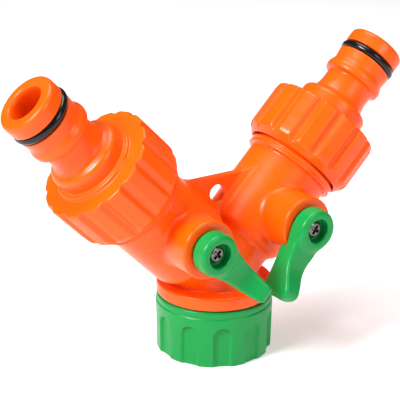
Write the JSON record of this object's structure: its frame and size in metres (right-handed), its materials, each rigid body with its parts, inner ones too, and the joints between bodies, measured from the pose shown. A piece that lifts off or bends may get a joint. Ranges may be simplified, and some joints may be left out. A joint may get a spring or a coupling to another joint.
{
  "type": "hose splitter",
  "caption": "Y-shaped garden hose splitter with a swivel inlet nut, a quarter-turn lever valve on each arm and a ribbed click-coupling adapter at each outlet.",
  "frame": {"origin": "centre of the inlet nut's open mouth, where the tap's spout enters", "axes": "+Z along the inlet axis, from the tap into the body; the two arms lie in the XZ plane and lean out along -X and +X; the valve levers are on the -Y side"},
  "size_m": [0.1214, 0.0432, 0.0829],
  "materials": {
    "body_orange": "semi-gloss injection moulding",
    "tail_orange": "semi-gloss injection moulding",
    "adapter_orange": "semi-gloss injection moulding",
    "nut_green": "semi-gloss injection moulding",
    "lever_green": "semi-gloss injection moulding",
    "washer_rubber": "matt black rubber",
    "oring_rubber": "greased black rubber",
    "seat_white": "smooth white fluoropolymer",
    "retainer_white": "plain white moulding",
    "ball_white": "polished white moulding",
    "stem_white": "plain white moulding",
    "screw_steel": "bright plated steel"
  },
  "bodies": {
    "body": {"y_body": "body_orange", "inlet_tail": "tail_orange", "left_inner_seat": "seat_white", "left_outer_seat": "seat_white", "left_seat_retainer": "retainer_white", "right_inner_seat": "seat_white", "right_outer_seat": "seat_white", "right_seat_retainer": "retainer_white"},
    "inlet_nut": {"inlet_nut": "nut_green", "inlet_washer": "washer_rubber"},
    "left_valve": {"left_lever": "lever_green", "left_lever_screw": "screw_steel", "left_stem": "stem_white", "left_stem_oring": "oring_rubber", "left_ball": "ball_white"},
    "left_washer": {"left_adapter_washer": "washer_rubber"},
    "left_adapter": {"left_adapter": "adapter_orange", "left_nozzle_oring": "oring_rubber"},
    "right_valve": {"right_lever": "lever_green", "right_lever_screw": "screw_steel", "right_stem": "stem_white", "right_stem_oring": "oring_rubber", "right_ball": "ball_white"},
    "right_washer": {"right_adapter_washer": "washer_rubber"},
    "right_adapter": {"right_adapter": "adapter_orange", "right_nozzle_oring": "oring_rubber"}
  },
  "joints": [
    {"name": "inlet_nut_swivel", "type": "hinge", "parent": "body", "child": "inlet_nut", "pos_m": [0, 0, 0], "axis": [0, 0, 1], "continuous": true},
    {"name": "left_valve_turn", "type": "hinge", "parent": "body", "child": "left_valve", "pos_m": [-0.0157, 0, 0.0379], "axis": [0, 1, 0], "range_deg": [0, 90]},
    {"name": "left_adapter_travel", "type": "slide", "parent": "body", "child": "left_washer", "axis": [-0.7071, 0, 0.7071], "range_m": [0, 0.00726]},
    {"name": "left_adapter_turn", "type": "hinge", "parent": "left_washer", "child": "left_adapter", "pos_m": [0, 0, 0.0222], "axis": [-0.7071, 0, 0.7071], "range_deg": [0, 1441]},
    {"name": "right_valve_turn", "type": "hinge", "parent": "body", "child": "right_valve", "pos_m": [0.0157, 0, 0.0379], "axis": [0, -1, 0], "range_deg": [-11, 79]},
    {"name": "right_adapter_travel", "type": "slide", "parent": "body", "child": "right_washer", "axis": [0.7071, 0, 0.7071], "range_m": [0, 0.00726]},
    {"name": "right_adapter_turn", "type": "hinge", "parent": "right_washer", "child": "right_adapter", "pos_m": [0, 0, 0.0222], "axis": [0.7071, 0, 0.7071], "range_deg": [0, 1441]}
  ],
  "couplings": [
    {"joint": "left_adapter_turn", "follows": "left_adapter_travel", "rad_per_m": 3463.7},
    {"joint": "right_adapter_turn", "follows": "right_adapter_travel", "rad_per_m": 3463.7}
  ]
}
